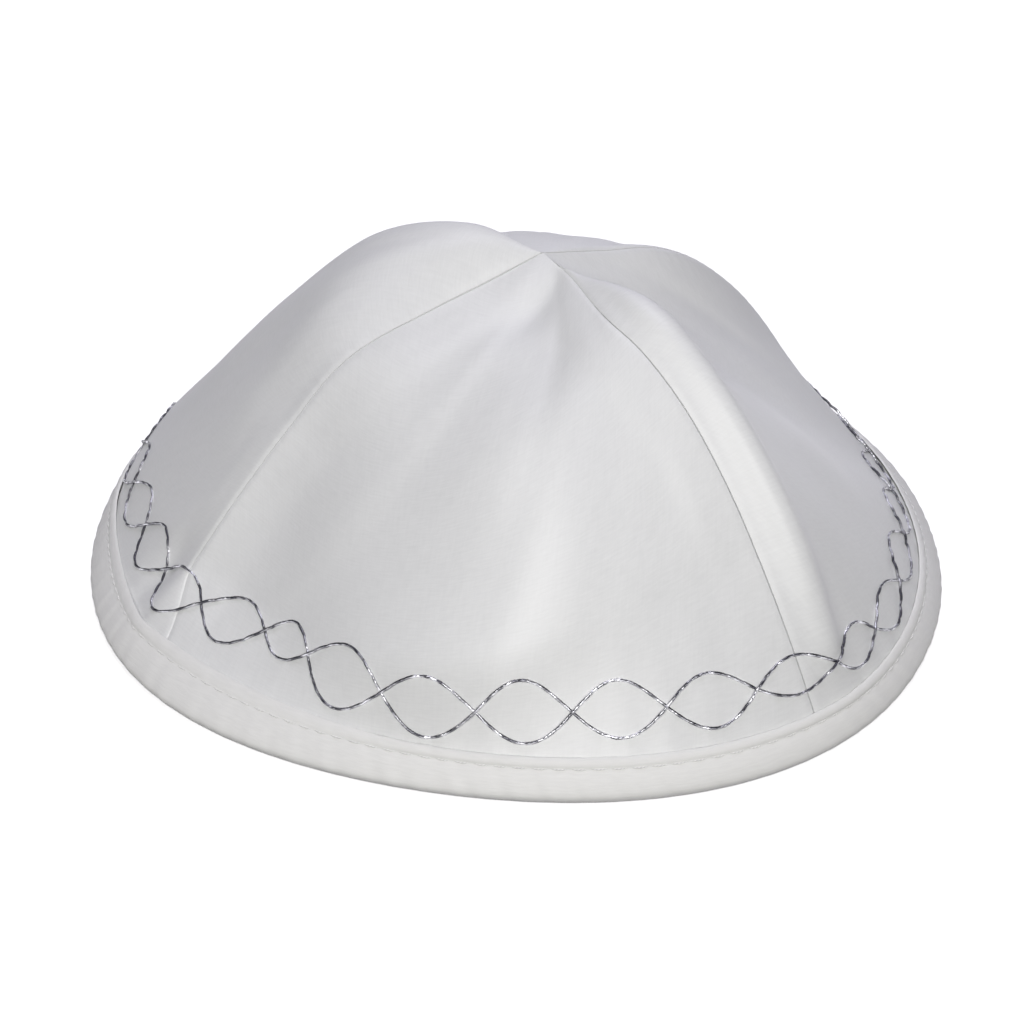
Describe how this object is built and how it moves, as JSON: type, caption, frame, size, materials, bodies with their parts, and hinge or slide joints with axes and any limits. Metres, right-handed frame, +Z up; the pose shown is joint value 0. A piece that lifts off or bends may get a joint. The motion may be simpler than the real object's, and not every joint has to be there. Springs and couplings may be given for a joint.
{
  "type": "kippah skullcap",
  "caption": "Soft satin skullcap of sewn panels with a folded binding round its rim, resting on the rim; the hollow is open below.",
  "frame": {"origin": "centre of the rim, on the surface that the cap rests on", "axes": "+Z up through the crown; +X to the wearer's left when the front panel, which faces -Y, is the wearer's forehead; the four seams meet the rim near the diagonals"},
  "size_m": [0.172, 0.166, 0.0677],
  "materials": {
    "satin": "white satin weave, soft sheen",
    "binding": "white bias-cut satin binding, matter than the panels",
    "thread": "silver metallic embroidery thread"
  },
  "bodies": {
    "root": {"panel_front": "satin", "panel_right": "satin", "panel_back": "satin", "panel_left": "satin", "rim_binding": "binding"}
  },
  "joints": []
}
